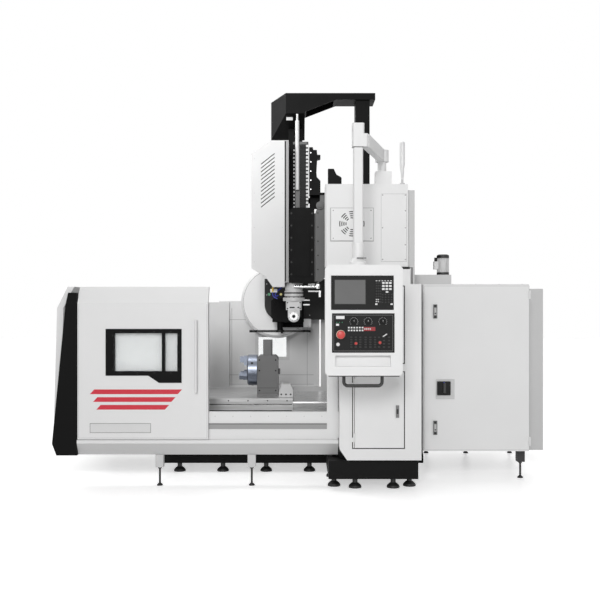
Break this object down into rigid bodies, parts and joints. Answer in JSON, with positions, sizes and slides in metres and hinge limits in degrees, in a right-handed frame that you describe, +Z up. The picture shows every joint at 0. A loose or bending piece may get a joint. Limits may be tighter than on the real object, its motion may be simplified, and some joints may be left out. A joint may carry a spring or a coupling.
{
  "type": "gantry milling machine",
  "caption": "Double-column gantry milling machine with a travelling T-slot table, a vertical head with an angle milling head, sheet enclosure and swinging console.",
  "frame": {"origin": "on the floor, at the middle of the machine's outline seen from above", "axes": "+X along the table's travel, away from the open door; +Y from the operator's side across the table, along the crossbeam; +Z up"},
  "size_m": [4.757, 3.665, 3.929],
  "materials": {
    "white_paint": "fine texture, half gloss",
    "light_grey": "satin",
    "grey_paint": "satin",
    "black_paint": "satin",
    "cast_iron": "ground",
    "steel": "brushed",
    "blackened_steel": "oiled",
    "clear_glass": "clear",
    "lamp_plastic": "frosted"
  },
  "bodies": {
    "base": {"bed": "black_paint", "feet": "steel", "columns": "black_paint", "near_column_cover": "white_paint", "far_column_cover": "white_paint", "crossbeam": "black_paint", "beam_end_boxes": "white_paint", "left_end_panel": "white_paint", "corner_trims": "black_paint", "side_walls": "white_paint", "doorway_sills": "white_paint", "doorway_posts": "white_paint", "door_rails": "steel", "guard_sides": "white_paint", "guard_end": "white_paint", "electrical_cabinet": "white_paint", "motor_shelf": "light_grey", "pump_motor": "light_grey", "signal_lamp": "lamp_plastic", "tool_magazine": "white_paint", "magazine_plate": "black_paint", "tool_changer": "black_paint", "way_cover_fixed": "steel", "pendant_base": "light_grey"},
    "near_door": {"near_door": "white_paint", "near_door_window_frame": "black_paint", "near_door_glass": "clear_glass"},
    "far_door": {"far_door": "white_paint", "far_door_window_frame": "white_paint", "far_door_glass": "clear_glass"},
    "table": {"table": "cast_iron", "rotary_table": "grey_paint", "clamp_block": "grey_paint", "way_cover_table": "steel"},
    "chuck": {"chuck": "steel"},
    "way_cover_1": {"way_cover_1": "steel"},
    "way_cover_2": {"way_cover_2": "steel"},
    "way_cover_3": {"way_cover_3": "steel"},
    "way_cover_4": {"way_cover_4": "steel"},
    "saddle": {"saddle": "grey_paint", "gallows_post": "black_paint", "gallows_beam": "black_paint", "gallows_hood": "black_paint", "lift_motor": "black_paint", "cable_bracket": "black_paint", "head_mast": "black_paint", "balance_cylinder": "steel"},
    "head": {"head_casting": "black_paint", "head_trunk": "grey_paint", "cable_chain": "grey_paint", "head_cover": "white_paint", "spindle_housing": "steel", "angle_head": "steel"},
    "milling_spindle": {"milling_spindle": "steel"},
    "tool_arm": {"tool_arm": "blackened_steel"},
    "pendant_arm": {"pendant_arm": "light_grey"},
    "console": {"console": "light_grey"},
    "cabinet_door": {"cabinet_door": "white_paint"},
    "lower_column_door": {"lower_column_door": "white_paint"},
    "upper_column_door": {"upper_column_door": "white_paint"}
  },
  "joints": [
    {"name": "table_travel", "type": "slide", "parent": "base", "child": "table", "axis": [1, 0, 0], "range_m": [0, 1.7]},
    {"name": "chuck_turn", "type": "hinge", "parent": "table", "child": "chuck", "pos_m": [-0.5125, 0.1275, 1.009], "axis": [1, 0, 0], "continuous": true},
    {"name": "saddle_travel", "type": "slide", "parent": "base", "child": "saddle", "axis": [0, 1, 0], "range_m": [-0.65, 0.45]},
    {"name": "head_travel", "type": "slide", "parent": "saddle", "child": "head", "axis": [0, 0, 1], "range_m": [-0.54, 0]},
    {"name": "milling_spindle_turn", "type": "hinge", "parent": "head", "child": "milling_spindle", "pos_m": [-0.1335, 0.2675, 1.568], "axis": [0, -1, 0], "continuous": true},
    {"name": "tool_arm_turn", "type": "hinge", "parent": "base", "child": "tool_arm", "pos_m": [-0.2975, 1.0075, 1.37], "axis": [0, 0, 1], "range_deg": [0, 180]},
    {"name": "near_door_travel", "type": "slide", "parent": "base", "child": "near_door", "axis": [1, 0, 0], "range_m": [0, 1.09]},
    {"name": "far_door_travel", "type": "slide", "parent": "base", "child": "far_door", "axis": [-1, 0, 0], "range_m": [0, 1.09]},
    {"name": "pendant_arm_swing", "type": "hinge", "parent": "base", "child": "pendant_arm", "pos_m": [0.6865, -0.9625, 3.01], "axis": [0, 0, 1], "range_deg": [0, 60]},
    {"name": "console_swivel", "type": "hinge", "parent": "pendant_arm", "child": "console", "pos_m": [0.4145, -1.7425, 2.03], "axis": [0, 0, 1], "range_deg": [-60, 15]},
    {"name": "cabinet_door_hinge", "type": "hinge", "parent": "base", "child": "cabinet_door", "pos_m": [2.1215, -0.6915, 0.293], "axis": [0, 0, 1], "range_deg": [0, 110]},
    {"name": "lower_column_door_hinge", "type": "hinge", "parent": "base", "child": "lower_column_door", "pos_m": [0.4215, -1.1065, 0.394], "axis": [0, 0, -1], "range_deg": [0, 95]},
    {"name": "upper_column_door_hinge", "type": "hinge", "parent": "base", "child": "upper_column_door", "pos_m": [0.4215, -1.1065, 1.165], "axis": [0, 0, -1], "range_deg": [0, 95]},
    {"name": "way_cover_1_travel", "type": "slide", "parent": "base", "child": "way_cover_1", "axis": [1, 0, 0], "range_m": [0, 0.34]},
    {"name": "way_cover_2_travel", "type": "slide", "parent": "base", "child": "way_cover_2", "axis": [1, 0, 0], "range_m": [0, 0.68]},
    {"name": "way_cover_3_travel", "type": "slide", "parent": "base", "child": "way_cover_3", "axis": [1, 0, 0], "range_m": [0, 1.02]},
    {"name": "way_cover_4_travel", "type": "slide", "parent": "base", "child": "way_cover_4", "axis": [1, 0, 0], "range_m": [0, 1.36]}
  ],
  "couplings": [
    {"joint": "way_cover_1_travel", "follows": "table_travel", "ratio": 0.2},
    {"joint": "way_cover_2_travel", "follows": "table_travel", "ratio": 0.4},
    {"joint": "way_cover_3_travel", "follows": "table_travel", "ratio": 0.6},
    {"joint": "way_cover_4_travel", "follows": "table_travel", "ratio": 0.8}
  ]
}
